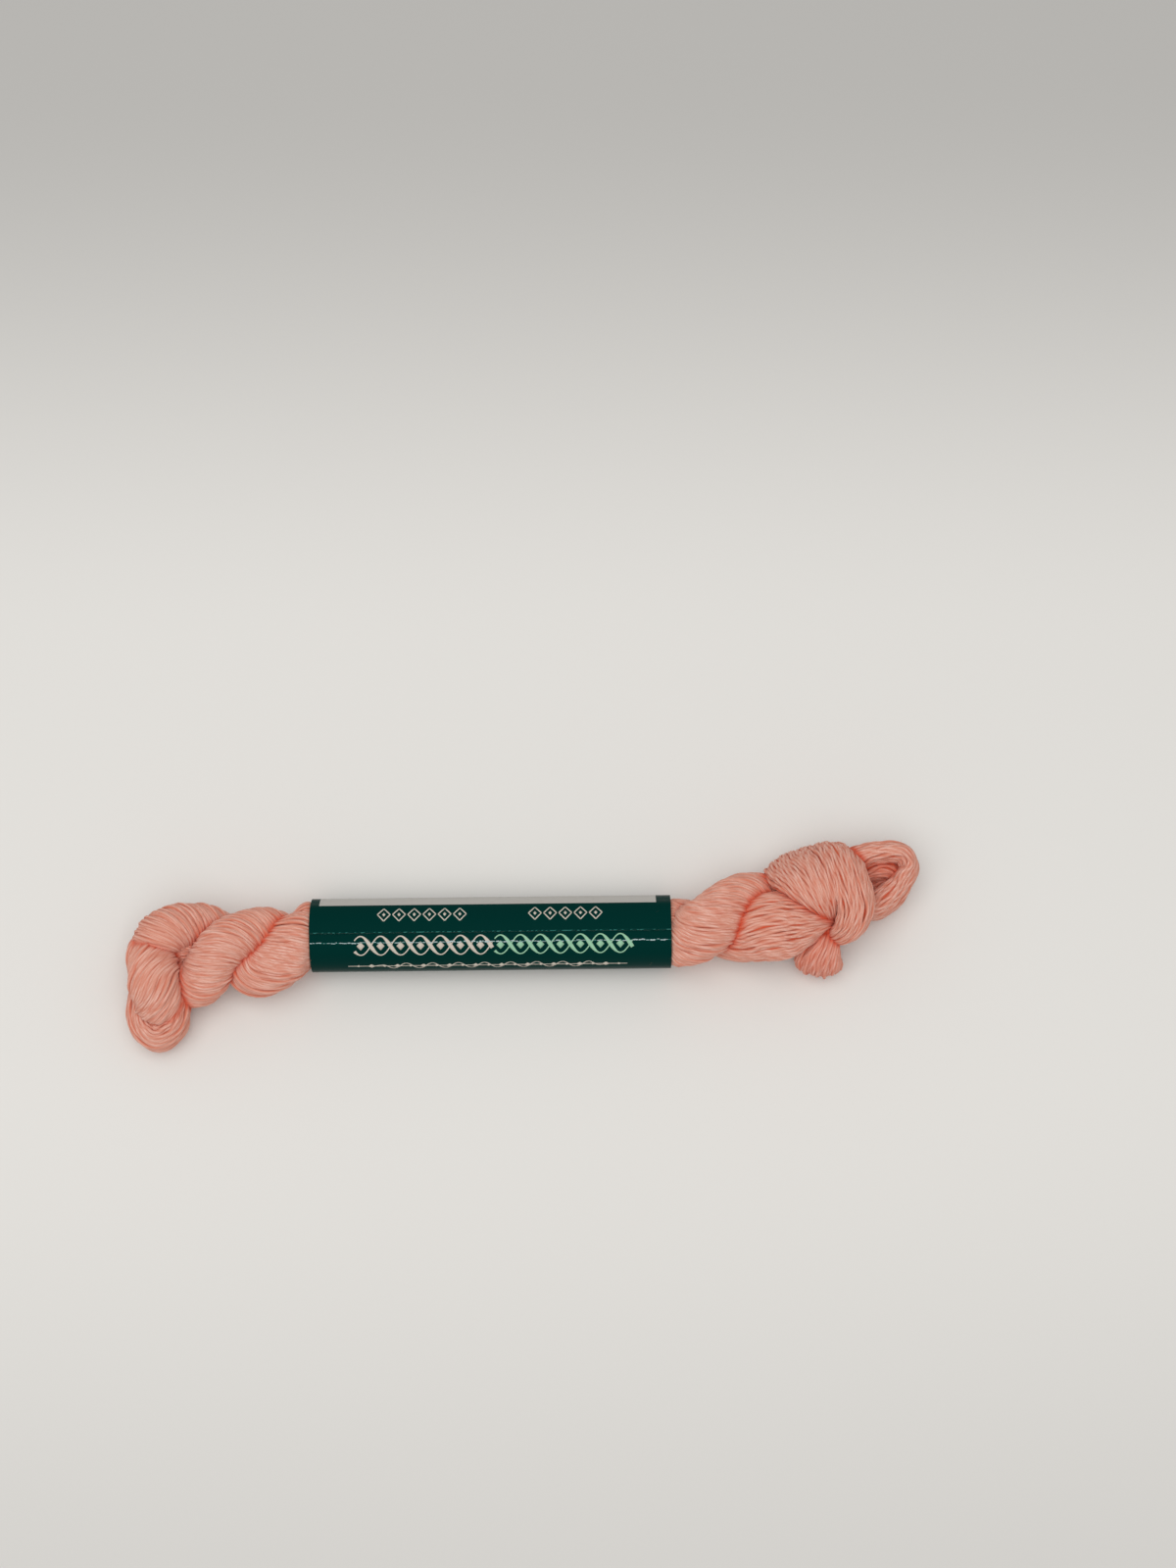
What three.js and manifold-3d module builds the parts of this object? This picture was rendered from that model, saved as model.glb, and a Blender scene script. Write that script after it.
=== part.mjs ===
// A small twisted skein of merino yarn, lying on a table with a paper sleeve round its middle.
// Millimetres, +Z up. Along +X the skein runs from its folded tip to its knot and open loop.
import * as THREE from "three";
import { mergeVertices } from "three/addons/utils/BufferGeometryUtils.js";
import Module from "manifold-3d";

const wasm = await Module();
wasm.setup();
const { Manifold, Mesh } = wasm;

// The sleeve: a rolled strip of laminated paper, its edges lapped along the top
const sleeveLength = 76.2;
const sleeveRadius = 7.8;
const sleeveHeight = 7.55; // of its axis, so that a narrow strip lies flat on the table
const paper = 0.5;
const lap = { from: 40, full: 62, edge: 102, rise: 0.35 }; // degrees from the back over the top
const sleeveFacets = 48;

// The hank
const clearance = 0.3; // between the yarn and the paper
const aroundBundle = 14;
const alongBundle = 2.4;

// Bundles of yarn, a row for each section. Columns: x, y, z, half width, half depth.
// Depth points away from the heart, or straight up where a bundle has none.
const plyFront = {
  rows: [
    [-32.8, 0.6, 7.6, 6.6, 6.2],
    [-40.5, -2.3, 10.8, 6.4, 4.9],
    [-49.3, -7.3, 8.0, 5.8, 5.4],
    [-55.8, -0.1, 4.5, 4.8, 4.8],
    [-62.4, 2.1, 9.6, 4.5, 4.6],
    [-68.4, 0.2, 12.0, 4.9, 4.9],
    [-71.3, -2.1, 9.8, 4.8, 4.8],
    [-70.6, -6.1, 7.0, 4.2, 4.2],
  ],
};
const plyBack = {
  rows: [
    [-32.8, -1.0, 7.4, 5.0, 5.0],
    [-41.4, -0.7, 4.6, 4.8, 4.8],
    [-49.0, 0.7, 9.2, 5.0, 5.0],
    [-56.5, -3.5, 12.6, 5.1, 4.8],
    [-62.3, -10.0, 7.6, 5.2, 5.0],
    [-68.9, -7.3, 4.6, 4.5, 4.7],
    [-73.1, -4.7, 4.8, 4.0, 4.2],
  ],
};
const plyBend = {
  rows: [
    [-72.9, -0.8, 5.6, 4.2, 4.4],
    [-71.7, -5.7, 10.4, 5.1, 5.0],
    [-70.6, -11.2, 12.0, 5.3, 5.0],
    [-70.0, -14.9, 10.0, 5.0, 4.6],
    [-70.1, -17.0, 7.4, 3.8, 3.8],
  ],
};
const foldedTip = {
  rows: [
    [-72.8, -10.3, 5.0, 3.6, 3.8],
    [-74.0, -14.6, 5.2, 3.2, 4.3],
    [-73.4, -18.4, 5.2, 3.2, 4.5],
    [-70.3, -20.6, 5.2, 3.4, 4.7],
    [-67.3, -18.5, 5.6, 3.2, 4.7],
    [-66.8, -15.2, 6.6, 3.2, 4.6],
    [-67.7, -11.6, 8.4, 3.6, 4.4],
  ],
};
const plyOut = {
  rows: [
    [31.0, -1.5, 7.6, 5.6, 5.6],
    [38.4, -2.0, 9.2, 6.0, 5.2],
    [45.3, -0.3, 12.0, 6.4, 5.0],
    [53.1, 6.5, 9.4, 5.3, 5.0],
    [59.5, 7.2, 6.0, 5.0, 4.8],
    [65.0, 8.0, 5.8, 4.8, 4.8],
    [70.4, 8.7, 6.4, 4.2, 4.2],
  ],
};
const spindle = {
  rows: [
    [31.0, 2.0, 7.6, 5.0, 5.0],
    [38.6, 2.9, 7.2, 4.4, 4.8],
    [46.1, 1.7, 4.5, 4.8, 4.8],
    [52.1, -1.1, 6.8, 5.3, 5.2],
    [58.1, -0.4, 11.0, 7.2, 5.6],
    [63.0, 0.2, 11.6, 7.2, 5.4],
    [67.6, 0.7, 11.4, 4.7, 4.3],
    [70.6, 1.0, 10.8, 2.4, 2.8],
    [72.4, 1.1, 9.5, 1.2, 1.6],
  ],
};
const knotFan = {
  heart: [68.4, 8.4, 6.0],
  rows: [
    [72.2, 1.4, 11.0, 1.0, 1.2],
    [71.0, 3.4, 14.4, 3.2, 2.4],
    [69.5, 6.6, 16.2, 5.8, 2.8],
    [67.9, 10.1, 15.0, 7.4, 3.2],
    [66.5, 13.0, 11.0, 8.0, 3.4],
    [66.3, 14.8, 6.5, 7.6, 3.4],
    [67.3, 13.7, 3.4, 5.2, 2.8],
  ],
};
const knotCurl = {
  heart: [71.7, 8.6, 9.0],
  rows: [
    [71.6, -1.0, 8.0, 1.2, 1.4],
    [73.8, -1.6, 10.2, 2.6, 2.4],
    [76.1, -0.3, 13.0, 3.8, 3.0],
    [77.1, 3.2, 15.0, 4.5, 3.4],
    [76.2, 7.5, 15.6, 4.8, 3.4],
    [74.9, 11.9, 14.0, 5.4, 3.6],
    [74.0, 14.9, 9.5, 6.0, 3.6],
    [73.4, 15.4, 5.0, 5.0, 3.4],
  ],
};
const pinch = {
  rows: [
    [72.0, 3.3, 10.0, 2.2, 2.2],
    [71.5, 0.6, 9.2, 2.6, 2.6],
    [71.3, -2.4, 7.6, 2.2, 2.2],
  ],
};
const insideSleeve = {
  rows: [
    [-70.8, -14.5, 6.4, 2.6, 3.0],
    [-70.6, -7.0, 7.4, 3.6, 3.6],
    [-66.8, -1.8, 8.6, 4.6, 4.2],
    [-59.0, -2.0, 8.4, 4.0, 3.8],
    [-50.5, -1.8, 8.2, 4.0, 3.8],
    [-42.0, -0.8, 7.7, 5.6, 5.0],
    [-33.5, 0.0, 7.6, 8.4, 8.2],
    [0.0, 0.0, 7.6, 8.4, 8.2],
    [33.5, 0.0, 7.6, 8.4, 8.2],
    [42.0, 0.6, 7.8, 5.4, 5.0],
    [50.0, 1.6, 8.0, 4.2, 4.0],
    [58.0, 3.4, 8.0, 4.8, 4.6],
    [66.0, 5.0, 8.4, 4.8, 4.6],
  ],
};
const tuft = {
  heart: [70.6, -3.1, 3.5],
  rows: [
    [71.8, -0.4, 8.0, 1.4, 1.6],
    [71.0, -3.3, 8.6, 3.2, 2.6],
    [70.0, -5.7, 7.0, 4.8, 3.0],
    [69.8, -6.7, 4.2, 5.0, 2.8],
    [70.5, -5.3, 2.0, 4.2, 2.2],
    [71.4, -2.8, 2.4, 3.0, 2.0],
  ],
};
const loopTop = {
  rows: [
    [75.5, 13.6, 8.6, 3.0, 3.6],
    [80.2, 15.4, 9.8, 2.5, 3.8],
    [84.2, 15.9, 10.2, 2.3, 4.0],
    [87.7, 15.7, 10.0, 2.2, 4.0],
    [89.3, 13.3, 9.2, 2.1, 4.0],
    [87.8, 10.2, 8.6, 2.3, 3.8],
    [84.8, 7.2, 8.0, 2.7, 3.6],
    [81.5, 5.2, 7.4, 2.8, 3.4],
    [77.3, 5.0, 7.0, 2.6, 3.2],
  ],
};
const loopInner = {
  rows: [
    [77.7, 12.0, 6.6, 2.6, 2.6],
    [82.3, 13.0, 7.4, 2.4, 2.8],
    [85.2, 12.9, 7.0, 2.2, 3.0],
    [86.0, 11.4, 5.4, 2.0, 2.6],
    [83.3, 10.1, 4.6, 2.0, 2.6],
    [79.1, 9.4, 4.2, 2.2, 2.4],
  ],
};
const loopBase = {
  rows: [
    [89.2, 11.9, 5.0, 1.7, 3.0],
    [86.6, 8.4, 4.2, 2.4, 3.6],
    [83.2, 6.2, 3.7, 2.6, 3.9],
    [78.5, 6.0, 3.8, 2.6, 3.6],
  ],
};
const knotHeart = { at: [71.7, 8.6, 8.6], half: [8.4, 8.6, 8.2] };

const halfSleeve = sleeveLength / 2;
const boreRadius = sleeveRadius - paper;

function solidOf(geometry) {
  geometry.deleteAttribute("normal");
  geometry.deleteAttribute("uv");
  const merged = mergeVertices(geometry, 1e-5);
  return new Manifold(new Mesh({
    numProp: 3,
    vertProperties: new Float32Array(merged.attributes.position.array),
    triVerts: new Uint32Array(merged.index.array),
  }));
}

// A sphere drawn out along a bundle's rows: its poles are the bundle's two ends
function bundleSolid({ rows, heart }) {
  const path = new THREE.CatmullRomCurve3(
    rows.map(([x, y, z]) => new THREE.Vector3(x, y, z)), false, "catmullrom");
  const section = new THREE.CatmullRomCurve3(
    rows.map(([, , , wide, deep]) => new THREE.Vector3(wide, deep, 0)), false, "catmullrom");
  const steps = Math.max(6, Math.round(path.getLength() / alongBundle));
  const geometry = new THREE.SphereGeometry(1, aroundBundle, steps);
  const position = geometry.attributes.position;
  const vertex = new THREE.Vector3();
  for (let i = 0; i < position.count; i++) {
    vertex.fromBufferAttribute(position, i);
    const along = Math.acos(THREE.MathUtils.clamp(vertex.y, -1, 1)) / Math.PI;
    const end = Math.min(along, 1 - along) * (rows.length - 1);
    const round = end >= 0.5 ? 1 : Math.sqrt(1 - (1 - end / 0.5) ** 2);
    const azimuth = Math.atan2(vertex.z, vertex.x);
    const centre = path.getPoint(along);
    const tangent = path.getTangent(along);
    const outward = heart
      ? centre.clone().sub(new THREE.Vector3(...heart))
      : new THREE.Vector3(0, 0, 1);
    outward.addScaledVector(tangent, -outward.dot(tangent)).normalize();
    const sideways = new THREE.Vector3().crossVectors(outward, tangent);
    const size = section.getPoint(along);
    centre.addScaledVector(sideways, round * size.x * Math.cos(azimuth));
    centre.addScaledVector(outward, round * size.y * Math.sin(azimuth));
    position.setXYZ(i, centre.x, centre.y, centre.z);
  }
  return solidOf(geometry);
}

function ballSolid({ at, half }) {
  const geometry = new THREE.SphereGeometry(1, 18, 12);
  geometry.scale(...half);
  geometry.translate(...at);
  return solidOf(geometry);
}

function boxSolid(min, max) {
  const size = max.map((value, axis) => value - min[axis]);
  const geometry = new THREE.BoxGeometry(...size);
  geometry.translate(...min.map((value, axis) => value + size[axis] / 2));
  return solidOf(geometry);
}

// How far the lapped edge lifts the paper at an angle round the sleeve
function lapRise(degrees) {
  if (degrees < lap.from || degrees > lap.edge) return 0;
  const t = THREE.MathUtils.smoothstep(degrees, lap.from, lap.full);
  return lap.rise * t;
}

function sleeveOutline(radiusAt, lowest) {
  const points = [];
  for (let i = 0; i < sleeveFacets; i++) {
    const degrees = (i * 360) / sleeveFacets;
    const angle = THREE.MathUtils.degToRad(degrees);
    const radius = radiusAt(degrees);
    points.push(new THREE.Vector2(radius * Math.cos(angle),
      Math.max(sleeveHeight + radius * Math.sin(angle), lowest)));
  }
  return points;
}

// A prism of an outline drawn across Y and Z, running along X
function alongSleeve(shape, length) {
  const geometry = new THREE.ExtrudeGeometry(shape, { depth: length, bevelEnabled: false });
  geometry.translate(0, 0, -length / 2);
  geometry.applyMatrix4(new THREE.Matrix4().makeBasis(
    new THREE.Vector3(0, 1, 0), new THREE.Vector3(0, 0, 1), new THREE.Vector3(1, 0, 0)));
  return solidOf(geometry);
}

function sleeveSolid() {
  const outline = sleeveOutline(() => sleeveRadius, 0);
  const edge = THREE.MathUtils.degToRad(lap.edge);
  const at = (radius) => new THREE.Vector2(radius * Math.cos(edge),
    sleeveHeight + radius * Math.sin(edge));
  const raised = [];
  for (let i = 0; i < sleeveFacets; i++) {
    const degrees = (i * 360) / sleeveFacets;
    const radius = sleeveRadius + lapRise(degrees);
    const angle = THREE.MathUtils.degToRad(degrees);
    const isAfterEdge = degrees > lap.edge && degrees - 360 / sleeveFacets <= lap.edge;
    if (isAfterEdge) raised.push(at(sleeveRadius + lap.rise), at(sleeveRadius));
    raised.push(degrees <= lap.edge
      ? new THREE.Vector2(radius * Math.cos(angle), sleeveHeight + radius * Math.sin(angle))
      : outline[i]);
  }
  const shape = new THREE.Shape(raised);
  shape.holes.push(new THREE.Path(sleeveOutline(() => boreRadius, paper)));
  return alongSleeve(shape, sleeveLength);
}

function hankSolid() {
  const bundles = [plyFront, plyBack, plyBend, foldedTip, insideSleeve, plyOut, spindle,
    knotFan, knotCurl, pinch, tuft, loopTop, loopInner, loopBase];
  let hank = Manifold.union([...bundles.map(bundleSolid), ballSolid(knotHeart)]);
  const table = boxSolid([-120, -60, -30], [120, 60, 0]);
  const bore = alongSleeve(new THREE.Shape(
    sleeveOutline(() => boreRadius - clearance, paper + clearance)), sleeveLength + 4);
  const reach = halfSleeve + clearance;
  const walls = boxSolid([-reach, -20, -20], [reach, 20, 40]).subtract(bore);
  hank = hank.subtract(table).subtract(walls).asOriginal().simplify(0.02);
  return hank.decompose().sort((a, b) => b.volume() - a.volume())[0];
}

function meshOf(name, solid, color, roughness) {
  const data = solid.getMesh();
  const geometry = new THREE.BufferGeometry();
  geometry.setAttribute("position", new THREE.BufferAttribute(data.vertProperties, 3));
  geometry.setIndex(new THREE.BufferAttribute(data.triVerts, 1));
  geometry.computeVertexNormals();
  const mesh = new THREE.Mesh(geometry, new THREE.MeshStandardMaterial({ color, roughness }));
  mesh.name = name;
  return mesh;
}

const group = new THREE.Group();
group.name = "yarn_skein";
group.add(meshOf("yarn_hank", hankSolid(), 0xd9957f, 0.95));
group.add(meshOf("paper_sleeve", sleeveSolid(), 0x083f3a, 0.35));

// Put the origin on the table, under the middle of the skein
const box = new THREE.Box3().setFromObject(group);
const middle = box.getCenter(new THREE.Vector3());
group.position.set(-middle.x, -middle.y, 0);

export default group;
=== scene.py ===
"""A small twisted skein of merino yarn in its paper sleeve, lying on a pale table.

The skein's bundles are drawn in millimetres, with the sleeve's middle at x = 0, y = 0,
and are moved to where the solids stand.
"""

import math

import bpy
import numpy as np
from mathutils import Matrix, Vector


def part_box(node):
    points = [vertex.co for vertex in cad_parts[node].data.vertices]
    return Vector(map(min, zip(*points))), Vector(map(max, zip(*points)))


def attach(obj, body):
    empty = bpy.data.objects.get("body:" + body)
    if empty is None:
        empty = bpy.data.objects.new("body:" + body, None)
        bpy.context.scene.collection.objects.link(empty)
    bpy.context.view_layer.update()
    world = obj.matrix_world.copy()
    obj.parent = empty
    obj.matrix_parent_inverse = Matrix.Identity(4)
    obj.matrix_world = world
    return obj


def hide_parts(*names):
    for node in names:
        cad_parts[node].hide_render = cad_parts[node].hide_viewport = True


bl_info = {
    "name": "Twisted Yarn Skein",
    "version": (1, 0, 0),
    "blender": (4, 5, 0),
    "location": "View3D > Sidebar > Skein",
    "description": "Strands, paper sleeve and studio for a small twisted skein of yarn",
    "category": "Add Mesh",
}

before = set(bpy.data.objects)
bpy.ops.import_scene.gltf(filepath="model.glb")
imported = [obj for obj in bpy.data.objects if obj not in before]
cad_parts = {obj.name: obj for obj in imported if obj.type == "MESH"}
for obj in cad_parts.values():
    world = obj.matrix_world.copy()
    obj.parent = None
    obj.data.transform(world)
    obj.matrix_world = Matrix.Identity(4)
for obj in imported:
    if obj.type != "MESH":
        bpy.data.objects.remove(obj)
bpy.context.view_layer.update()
sleeve_low, sleeve_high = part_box("paper_sleeve")
sleeve_middle = (sleeve_low + sleeve_high) / 2

MM = 0.001
SEED = 11

# The sleeve, in mm and in degrees from the back over the top
SLEEVE_HEIGHT = 7.55
BORE_RADIUS = 7.3
LAP_FROM, LAP_FULL, LAP_EDGE = 40.0, 60.0, 102.0
LAP_RISE = 0.35
# How far from the middle the yarn is free of the sleeve, and how far no strand is laid
MOUTH_AT, UNSEEN_TO = 38.2, 34.6

# Bundles of yarn, a row for each section. Columns: x, y, z, half width, half depth, lay.
# Depth points away from the bundle's heart, or straight up where it has none. The lay is how
# far the strands turn round the bundle, in radians a millimetre.
BUNDLES = {
    "ply_front": [
        (-32.8, 0.6, 7.6, 6.6, 6.2, -0.20),
        (-40.5, -2.3, 10.8, 6.4, 4.9, -0.20),
        (-49.3, -7.3, 8.0, 5.8, 5.4, -0.20),
        (-55.8, -0.1, 4.5, 4.8, 4.8, -0.26),
        (-62.4, 2.1, 9.6, 4.5, 4.6, -0.50),
        (-68.4, 0.2, 12.0, 4.9, 4.9, -0.58),
        (-71.3, -2.1, 9.8, 4.8, 4.8, -0.50),
        (-70.6, -6.1, 7.0, 4.2, 4.2, -0.20),
    ],
    "ply_back": [
        (-32.8, -1.0, 7.4, 5.0, 5.0, -0.20),
        (-41.4, -0.7, 4.6, 4.8, 4.8, -0.20),
        (-49.0, 0.7, 9.2, 5.0, 5.0, -0.34),
        (-56.5, -3.5, 12.6, 5.1, 4.8, -0.40),
        (-62.3, -10.0, 7.6, 5.2, 5.0, -0.36),
        (-68.9, -7.3, 4.6, 4.5, 4.7, -0.20),
        (-73.1, -4.7, 4.8, 4.0, 4.2, -0.20),
    ],
    "ply_bend": [
        (-72.9, -0.8, 5.6, 4.2, 4.4, -0.30),
        (-71.7, -5.7, 10.4, 5.1, 5.0, -0.30),
        (-70.6, -11.2, 12.0, 5.3, 5.0, -0.28),
        (-70.0, -14.9, 10.0, 5.0, 4.6, -0.24),
        (-70.1, -17.0, 7.4, 3.8, 3.8, -0.20),
    ],
    "folded_tip": [
        (-72.8, -10.3, 5.0, 3.6, 3.8, -0.02),
        (-74.0, -14.6, 5.2, 3.2, 4.3, -0.02),
        (-73.4, -18.4, 5.2, 3.2, 4.5, -0.02),
        (-70.6, -20.6, 5.2, 3.4, 4.7, -0.02),
        (-67.8, -18.5, 5.6, 3.2, 4.7, -0.02),
        (-67.2, -15.2, 6.6, 3.2, 4.6, -0.02),
        (-67.7, -11.6, 8.4, 3.6, 4.4, -0.02),
    ],
    "ply_out": [
        (31.0, -1.5, 7.6, 5.6, 5.6, -0.20),
        (38.4, -2.0, 9.2, 6.0, 5.2, -0.20),
        (45.3, -0.3, 12.0, 6.4, 5.0, -0.20),
        (53.1, 6.5, 9.4, 5.3, 5.0, -0.20),
        (59.5, 7.2, 6.0, 5.0, 4.8, -0.20),
        (65.0, 8.0, 5.8, 4.8, 4.8, -0.20),
        (70.4, 8.7, 6.4, 4.2, 4.2, -0.20),
    ],
    "spindle": [
        (31.0, 2.0, 7.6, 5.0, 5.0, 0.0),
        (38.6, 2.9, 7.2, 4.4, 4.8, 0.0),
        (46.1, 1.7, 4.5, 4.8, 4.8, 0.0),
        (52.1, -1.1, 6.8, 5.3, 5.2, 0.0),
        (58.1, -0.4, 11.0, 7.2, 5.6, 0.0),
        (63.0, 0.2, 11.6, 7.2, 5.4, 0.0),
        (67.6, 0.7, 11.4, 4.7, 4.3, 0.0),
        (70.6, 1.0, 10.8, 2.4, 2.8, 0.0),
        (72.4, 1.1, 9.5, 1.2, 1.6, 0.0),
    ],
    "knot_fan": [
        (72.2, 1.4, 11.0, 1.0, 1.2, 0.0),
        (71.0, 3.4, 14.4, 3.2, 2.4, 0.0),
        (69.5, 6.6, 16.2, 5.8, 2.8, 0.0),
        (67.9, 10.1, 15.0, 7.4, 3.2, 0.0),
        (66.5, 13.0, 11.0, 8.0, 3.4, 0.0),
        (66.3, 14.8, 6.5, 7.6, 3.4, 0.0),
        (67.3, 13.7, 3.4, 5.2, 2.8, 0.0),
    ],
    "knot_curl": [
        (71.6, -1.0, 8.0, 1.2, 1.4, 0.0),
        (73.8, -1.6, 10.2, 2.6, 2.4, 0.0),
        (76.1, -0.3, 13.0, 3.8, 3.0, 0.0),
        (77.1, 3.2, 15.0, 4.5, 3.4, 0.0),
        (76.2, 7.5, 15.6, 4.8, 3.4, 0.0),
        (74.9, 11.9, 14.0, 5.4, 3.6, 0.0),
        (74.0, 14.9, 9.5, 6.0, 3.6, 0.0),
        (73.4, 15.4, 5.0, 5.0, 3.4, 0.0),
    ],
    "knot_core": [
        (71.7, 0.2, 8.6, 2.6, 2.5, 0.10),
        (71.7, 3.2, 8.6, 6.6, 6.4, 0.10),
        (71.7, 8.6, 8.6, 8.3, 8.1, 0.10),
        (71.7, 14.0, 8.6, 6.6, 6.4, 0.10),
        (71.7, 17.0, 8.6, 2.6, 2.5, 0.10),
    ],
    "pinch": [
        (72.0, 3.3, 10.0, 2.2, 2.2, 0.0),
        (71.5, 0.6, 9.2, 2.6, 2.6, 0.0),
        (71.3, -2.4, 7.6, 2.2, 2.2, 0.0),
    ],
    "rope_core": [
        (-70.8, -14.5, 6.4, 2.6, 3.0, 0.0),
        (-70.6, -7.0, 7.4, 3.6, 3.6, 0.0),
        (-66.8, -1.8, 8.2, 4.4, 3.8, 0.0),
        (-59.0, -2.0, 8.4, 4.0, 3.8, 0.0),
        (-50.5, -1.8, 8.2, 4.0, 3.8, 0.0),
        (-42.0, -0.8, 7.7, 5.6, 5.0, 0.0),
        (-33.5, 0.0, 7.6, 8.4, 8.2, 0.0),
        (0.0, 0.0, 7.6, 8.4, 8.2, 0.0),
        (33.5, 0.0, 7.6, 8.4, 8.2, 0.0),
        (42.0, 0.6, 7.8, 5.4, 5.0, 0.0),
        (50.0, 1.6, 8.0, 4.2, 4.0, 0.0),
        (58.0, 3.4, 8.0, 4.8, 4.6, 0.0),
        (66.0, 5.0, 8.4, 4.8, 4.6, 0.0),
    ],
    "tuft": [
        (71.8, -0.4, 8.0, 1.4, 1.6, 0.0),
        (71.0, -3.3, 8.6, 3.2, 2.6, 0.0),
        (70.0, -5.7, 7.0, 4.8, 3.0, 0.0),
        (69.8, -6.7, 4.2, 5.0, 2.8, 0.0),
        (70.5, -5.3, 2.0, 4.2, 2.2, 0.0),
        (71.4, -2.8, 2.4, 3.0, 2.0, 0.0),
    ],
    "loop_top": [
        (75.5, 13.6, 8.6, 3.0, 3.6, 0.05),
        (80.2, 15.4, 9.8, 2.5, 3.8, 0.05),
        (84.2, 15.9, 10.2, 2.3, 4.0, 0.05),
        (87.7, 15.7, 10.0, 2.2, 4.0, 0.05),
        (89.3, 13.3, 9.2, 2.1, 4.0, 0.05),
        (87.8, 10.2, 8.6, 2.3, 3.8, 0.05),
        (84.8, 7.2, 8.0, 2.7, 3.6, 0.05),
        (81.5, 5.2, 7.4, 2.8, 3.4, 0.05),
        (77.3, 5.0, 7.0, 2.6, 3.2, 0.05),
    ],
    "loop_inner": [
        (77.7, 12.0, 6.6, 2.6, 2.6, 0.05),
        (82.3, 13.0, 7.4, 2.4, 2.8, 0.05),
        (85.2, 12.9, 7.0, 2.2, 3.0, 0.05),
        (86.0, 11.4, 5.4, 2.0, 2.6, 0.05),
        (83.3, 10.1, 4.6, 2.0, 2.6, 0.05),
        (79.1, 9.4, 4.2, 2.2, 2.4, 0.05),
    ],
    "loop_base": [
        (89.2, 11.9, 5.0, 1.7, 3.0, 0.05),
        (86.6, 8.4, 4.2, 2.4, 3.6, 0.05),
        (83.2, 6.2, 3.7, 2.6, 3.9, 0.05),
        (78.5, 6.0, 3.8, 2.6, 3.6, 0.05),
    ],
}
# What the bundles of the knot and the tuft lie round
HEARTS = {
    "knot_fan": (68.4, 8.4, 6.0),
    "knot_curl": (71.7, 8.6, 9.0),
    "tuft": (70.6, -3.1, 3.5),
}
KNOT_HEART = {"at": (71.7, 8.6, 8.6), "half": (8.4, 8.6, 8.2)}

# Yarn inside the others, seen only in gaps
CORES = ("rope_core", "knot_core")
# Bundles that flow into each other, and by how many mm the fold between them is taken as shallower
# for the painted shade in the folds
SHALLOW_FOLDS = {
    ("knot_curl", "knot_fan"): 9.0,
    ("loop_base", "loop_top"): 9.0,
    ("ply_bend", "ply_front"): 0.7,
    ("folded_tip", "ply_bend"): 0.7,
    ("ply_front", "rope_core"): 1.3,
    ("ply_back", "rope_core"): 1.3,
    ("ply_out", "rope_core"): 1.3,
    ("rope_core", "spindle"): 1.3,
    ("knot_core", "knot_fan"): 0.8,
    ("knot_core", "knot_curl"): 0.8,
    ("knot_core", "loop_top"): 0.8,
}
# How loose the strands lie where it isn't as elsewhere, and the least share of painted fold shade
# a bundle's colour takes where it lies in shadow
LOOSE = {
    "loop_top": 1.8,
    "loop_inner": 1.6,
    "loop_base": 1.4,
    "knot_fan": 0.85,
    "knot_curl": 1.4,
    "tuft": 0.6,
}
# Painted shade: these bundles lie in shadow, so their colour goes at least this far to the painted
# fold shade colour
SHADED = {"loop_inner": 0.3, "pinch": 0.8, "tuft": 0.22}
# How close together the strands lie, where they are pressed closer than in the knot
PRESSED = {
    "ply_front": 0.92,
    "ply_back": 0.92,
    "ply_bend": 0.94,
    "folded_tip": 0.86,
    "ply_out": 0.92,
    "knot_fan": 0.94,
    "tuft": 0.86,
    "loop_top": 0.88,
    "loop_base": 0.9,
}

# How deep in another bundle a strand is left out, and how far its end runs on in there
BURIED, CORE_BURIED, RUN_ON = 1.5, 0.4, 0.9
# The share of strands that stray across their neighbours, and how far, in strands
STRAY_SHARE, STRAY_DRIFT = 0.18, 1.2
STRAND_SIDES = 8
# How fast the wool's fine pattern runs along a strand and round it
FIBRES_ALONG, FIBRES_ROUND = 0.9, 2.6

# The strands are made in these pieces
STRAND_PIECES = {
    "twisted_end_strands": ("ply_front", "ply_back"),
    "folded_tip_strands": ("ply_bend", "folded_tip", "rope_core"),
    "knot_end_strands": ("ply_out", "spindle"),
    "knot_strands": ("knot_fan", "knot_curl", "knot_core", "pinch"),
    "loop_and_tuft_strands": ("tuft", "loop_top", "loop_inner", "loop_base"),
}


def unit(vectors):
    return vectors / np.maximum(np.linalg.norm(vectors, axis=-1, keepdims=True), 1e-9)


def dot(a, b):
    return (a * b).sum(axis=-1, keepdims=True)


def smooth(low, high, value):
    t = np.clip((value - low) / (high - low), 0, 1)
    return t * t * (3 - 2 * t)


def curve_through(rows, where):
    """Values on a smooth curve through the rows, at row numbers that may be fractions."""
    padded = np.vstack([2 * rows[0] - rows[1], rows, 2 * rows[-1] - rows[-2]])
    cell = np.clip(where.astype(int), 0, len(rows) - 2)
    t = (where - cell)[:, None]
    a, b, c, d = (padded[cell + k] for k in range(4))
    return 0.5 * (
        2 * b
        + (c - a) * t
        + (2 * a - 5 * b + 4 * c - d) * t**2
        + (3 * b - a - 3 * c + d) * t**3
    )


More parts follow.
